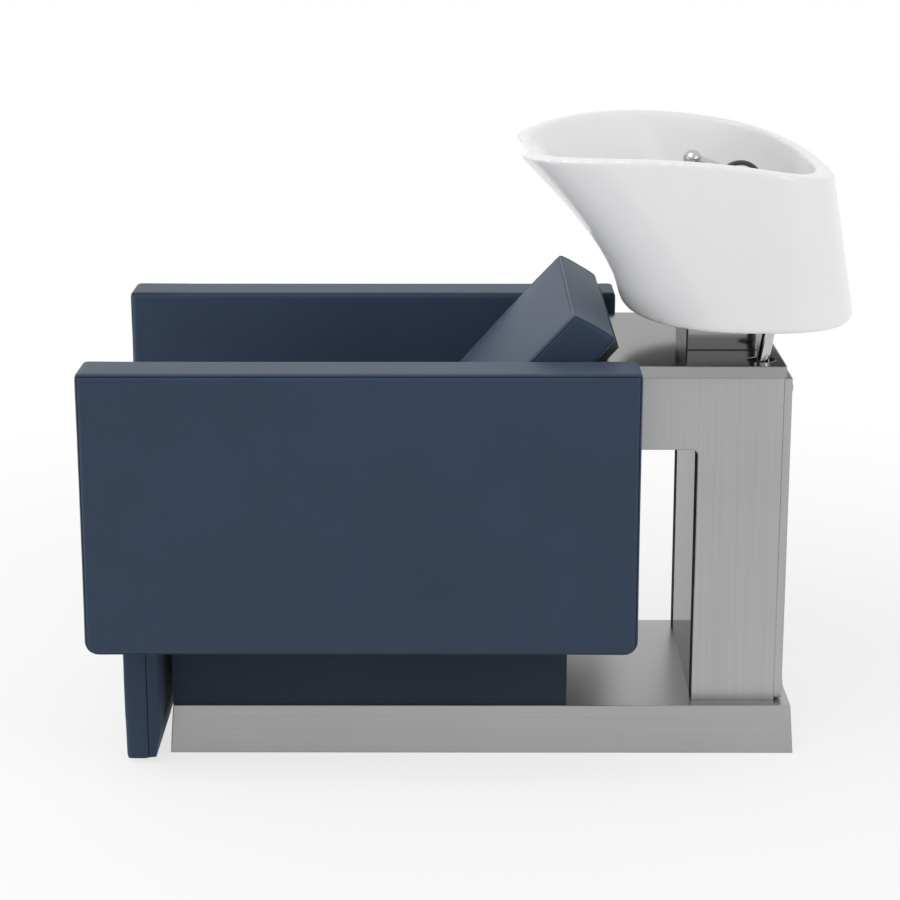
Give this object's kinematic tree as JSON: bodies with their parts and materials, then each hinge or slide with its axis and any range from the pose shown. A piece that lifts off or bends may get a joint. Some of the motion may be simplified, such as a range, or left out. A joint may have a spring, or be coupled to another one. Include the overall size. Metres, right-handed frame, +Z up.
{
  "type": "salon backwash unit",
  "caption": "Padded shampoo chair with broad arms and a hinged leg rest on a steel base, with a steel column behind it that carries a tilting ceramic basin, mixer and hand shower.",
  "frame": {"origin": "on the floor below the centre of the unit's outline", "axes": "+X along the unit from the leg rest to the basin, +Y across it to the sitter's right, +Z up"},
  "size_m": [1.1297, 0.7, 0.9148],
  "materials": {
    "leatherette": "navy leatherette, a coated fabric over foam, fine grain, soft sheen",
    "base_steel": "brushed stainless sheet, satin",
    "steel_panel": "brushed stainless sheet, satin",
    "steel_satin": "satin stainless sheet, near mirror",
    "steel_polished": "polished stainless sheet",
    "frame_paint": "black powder coat",
    "foot_rubber": "black rubber pads",
    "zinc_steel": "zinc plated",
    "plinth_dark": "board covered in dark navy leatherette",
    "frame_wood": "timber, stained black",
    "covered_board": "board covered in navy leatherette",
    "board_wood": "plain plywood",
    "bush_plastic": "white moulded plastic",
    "basin_ceramic": "white gloss glaze",
    "chrome": "bright chrome plate",
    "hose_grey": "dark grey flexible hose",
    "shower_black": "black gloss plastic"
  },
  "bodies": {
    "frame": {"base_cover": "base_steel", "base_frame": "frame_paint", "column_frame": "frame_paint", "service_bracket": "frame_paint", "seat_frame": "frame_wood", "backrest_struts": "frame_wood", "backrest_board": "frame_wood", "levelling_feet": "foot_rubber", "foot_locknuts": "zinc_steel", "arm_bolts": "zinc_steel", "door_screws": "zinc_steel", "pedestal_bolts": "zinc_steel", "tilt_pins": "zinc_steel", "hinge_pins": "zinc_steel", "hinge_leaves_fixed": "zinc_steel", "hinge_screws_fixed": "zinc_steel", "seat_plinth": "plinth_dark", "seat_board": "board_wood", "seat_cushion": "leatherette", "arm_left": "leatherette", "arm_right": "leatherette", "backrest_pad": "leatherette", "back_panel": "covered_board", "column_side_left": "steel_panel", "column_side_right": "steel_panel", "beam_panel": "steel_panel", "access_door": "steel_panel", "top_plate": "steel_satin", "pedestal": "steel_satin", "column_front_panel": "steel_polished", "tilt_washers": "bush_plastic", "waste_outlet": "bush_plastic", "supply_valves": "chrome", "waste_hose": "hose_grey", "water_hoses_lower": "hose_grey"},
    "legrest": {"legrest_board": "covered_board", "legrest_pad": "leatherette", "hinge_leaves_moving": "zinc_steel", "hinge_screws_moving": "zinc_steel"},
    "basin_unit": {"basin_carrier": "zinc_steel", "tilt_bushes": "bush_plastic", "carrier_bolts": "zinc_steel", "basin": "basin_ceramic", "drain_flange": "chrome", "drain_nut": "bush_plastic", "waste_elbow": "bush_plastic", "mixer_body": "chrome", "mixer_nut": "chrome", "hose_guide": "chrome", "shower_socket": "chrome", "supply_conduit": "chrome", "water_hoses_upper": "hose_grey"},
    "mixer_head": {"mixer_cap": "chrome"},
    "mixer_handle": {"mixer_lever": "chrome", "lever_pin": "chrome"},
    "shower": {"hand_shower": "shower_black", "spray_plate": "shower_black", "shower_hose": "hose_grey", "shower_hose_tail": "hose_grey"},
    "strainer": {"drain_strainer": "chrome"}
  },
  "joints": [
    {"name": "legrest_swing", "type": "hinge", "parent": "frame", "child": "legrest", "pos_m": [-0.4685, 0, 0.33], "axis": [0, 1, 0], "range_deg": [0, 85]},
    {"name": "basin_tilt", "type": "hinge", "parent": "frame", "child": "basin_unit", "pos_m": [0.37, 0, 0.645], "axis": [0, 1, 0], "range_deg": [-8, 10], "deforming": ["water_hoses_lower", "waste_hose"]},
    {"name": "mixer_turn", "type": "hinge", "parent": "basin_unit", "child": "mixer_head", "pos_m": [0.344, 0.17, 0.834], "axis": [0, 0, 1], "range_deg": [-35, 35]},
    {"name": "lever_lift", "type": "hinge", "parent": "mixer_head", "child": "mixer_handle", "pos_m": [0.344, 0.17, 0.8543], "axis": [0, -1, 0], "range_deg": [0, 25]},
    {"name": "shower_lift", "type": "slide", "parent": "basin_unit", "child": "shower", "axis": [0, 0, 1], "range_m": [0, 0.115]},
    {"name": "strainer_lift", "type": "slide", "parent": "basin_unit", "child": "strainer", "axis": [0, 0, 1], "range_m": [0, 0.03]}
  ]
}
